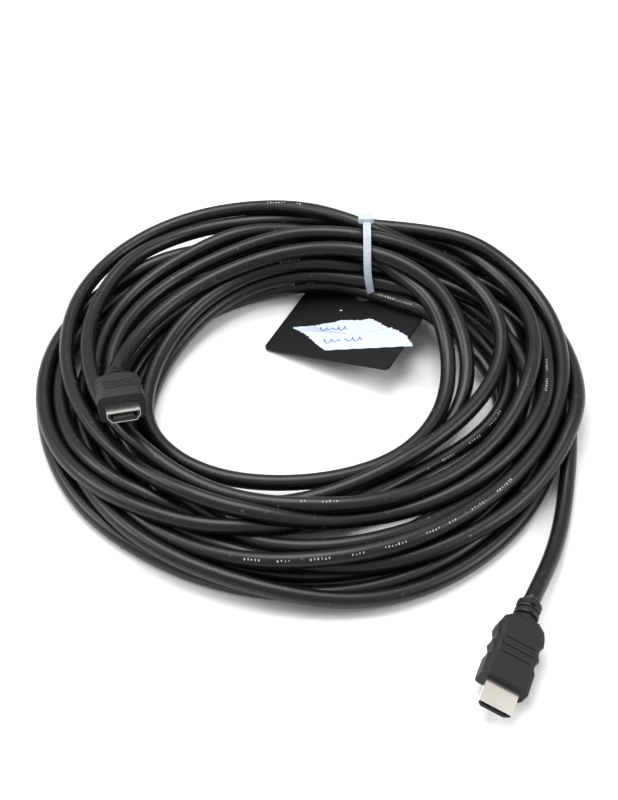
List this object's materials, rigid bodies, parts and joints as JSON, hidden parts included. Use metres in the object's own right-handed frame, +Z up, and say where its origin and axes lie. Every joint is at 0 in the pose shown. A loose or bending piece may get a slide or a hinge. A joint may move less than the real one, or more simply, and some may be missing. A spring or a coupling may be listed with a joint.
{
  "type": "hdmi cable",
  "caption": "Long black round audio-video cable wound in a loose coil, held by a white cable tie with a board tag, with a moulded plug on each end.",
  "frame": {"origin": "on the floor plane, under the middle of the whole part's box", "axes": "+Z up off the floor; -Y towards the free plug that lies in front of the coil; +Y towards the tied and tagged side"},
  "size_m": [0.2512, 0.2772, 0.0465],
  "materials": {
    "jacket": "satin black moulded jacket with small scuffs and dust",
    "moulding": "fine-grained charcoal moulding",
    "plating": "bright nickel plate",
    "insulation": "plain black",
    "contact_gold": "thin gold plate",
    "nylon": "translucent natural nylon",
    "board": "black board with a fine leathery grain",
    "paper": null
  },
  "bodies": {
    "root": {"cable_coil": "jacket", "cable_lead_a": "jacket", "cable_lead_b": "jacket", "cable_tie": "nylon", "label_tag": "board", "paper_label": "paper", "plug_a_housing": "moulding", "plug_a_shell": "plating", "plug_a_insulator": "insulation", "plug_a_contact_01": "contact_gold", "plug_a_contact_02": "contact_gold", "plug_a_contact_03": "contact_gold", "plug_a_contact_04": "contact_gold", "plug_a_contact_05": "contact_gold", "plug_a_contact_06": "contact_gold", "plug_a_contact_07": "contact_gold", "plug_a_contact_08": "contact_gold", "plug_a_contact_09": "contact_gold", "plug_a_contact_10": "contact_gold", "plug_a_contact_11": "contact_gold", "plug_a_contact_12": "contact_gold", "plug_a_contact_13": "contact_gold", "plug_a_contact_14": "contact_gold", "plug_a_contact_15": "contact_gold", "plug_a_contact_16": "contact_gold", "plug_a_contact_17": "contact_gold", "plug_a_contact_18": "contact_gold", "plug_a_contact_19": "contact_gold", "plug_b_housing": "moulding", "plug_b_shell": "plating", "plug_b_insulator": "insulation", "plug_b_contact_01": "contact_gold", "plug_b_contact_02": "contact_gold", "plug_b_contact_03": "contact_gold", "plug_b_contact_04": "contact_gold", "plug_b_contact_05": "contact_gold", "plug_b_contact_06": "contact_gold", "plug_b_contact_07": "contact_gold", "plug_b_contact_08": "contact_gold", "plug_b_contact_09": "contact_gold", "plug_b_contact_10": "contact_gold", "plug_b_contact_11": "contact_gold", "plug_b_contact_12": "contact_gold", "plug_b_contact_13": "contact_gold", "plug_b_contact_14": "contact_gold", "plug_b_contact_15": "contact_gold", "plug_b_contact_16": "contact_gold", "plug_b_contact_17": "contact_gold", "plug_b_contact_18": "contact_gold", "plug_b_contact_19": "contact_gold"}
  },
  "joints": []
}
